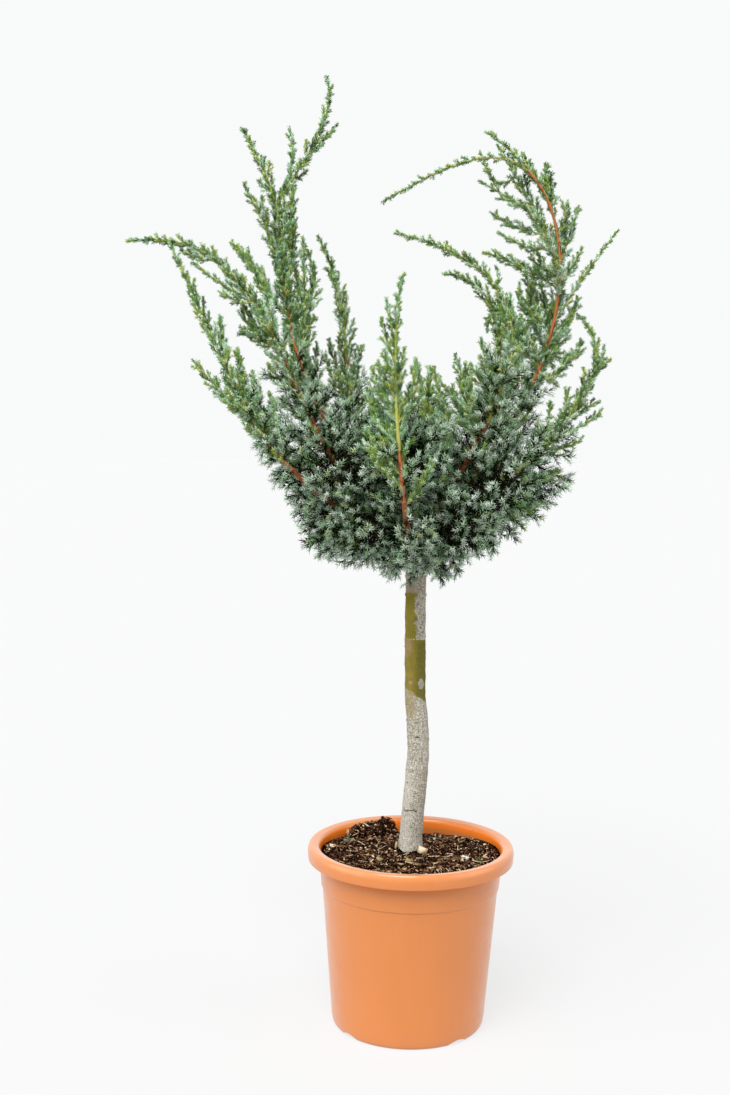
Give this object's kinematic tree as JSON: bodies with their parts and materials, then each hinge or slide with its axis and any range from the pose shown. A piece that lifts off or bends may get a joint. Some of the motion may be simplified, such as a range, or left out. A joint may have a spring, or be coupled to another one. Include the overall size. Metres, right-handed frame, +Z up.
{
  "type": "potted chinese juniper",
  "caption": "Top-grafted juniper standard in a round pot, with a bare trunk, a dense needled lower crown and long loose arching shoots.",
  "frame": {"origin": "middle of the flat underside of the pot, on the surface that it stands on", "axes": "+Z up along the trunk, +X to the right and -Y towards the viewer in front"},
  "size_m": [0.5809, 0.3848, 1.1757],
  "materials": {
    "pot_plastic": "matt terracotta-coloured moulded plastic",
    "compost": "damp bark and peat compost",
    "trunk_bark": "smooth grey bark, olive green above",
    "bough_bark": "thin orange-brown bark",
    "foliage": "blue-green needles and scale shoots"
  },
  "bodies": {
    "root": {"bough_back": "bough_bark", "bough_back_left": "bough_bark", "bough_back_left_tall": "bough_bark", "bough_back_right": "bough_bark", "bough_front": "bough_bark", "bough_left_arch": "bough_bark", "bough_left_low": "bough_bark", "bough_left_tall": "bough_bark", "bough_right_inner": "bough_bark", "bough_right_low": "bough_bark", "bough_right_mid": "bough_bark", "bough_right_tall": "bough_bark", "foliage_back": "foliage", "foliage_back_left": "foliage", "foliage_back_left_tall": "foliage", "foliage_back_right": "foliage", "foliage_front": "foliage", "foliage_high_1": "foliage", "foliage_high_2": "foliage", "foliage_high_3": "foliage", "foliage_high_4": "foliage", "foliage_high_5": "foliage", "foliage_high_6": "foliage", "foliage_left_arch": "foliage", "foliage_left_low": "foliage", "foliage_left_skirt": "foliage", "foliage_left_tall": "foliage", "foliage_low_1": "foliage", "foliage_low_2": "foliage", "foliage_low_3": "foliage", "foliage_low_4": "foliage", "foliage_low_5": "foliage", "foliage_low_6": "foliage", "foliage_right_arch": "foliage", "foliage_right_inner": "foliage", "foliage_right_low": "foliage", "foliage_right_mid": "foliage", "foliage_right_skirt": "foliage", "foliage_right_tall": "foliage", "foliage_top_1": "foliage", "pot": "pot_plastic", "potting_soil": "compost", "trunk": "trunk_bark"}
  },
  "joints": []
}
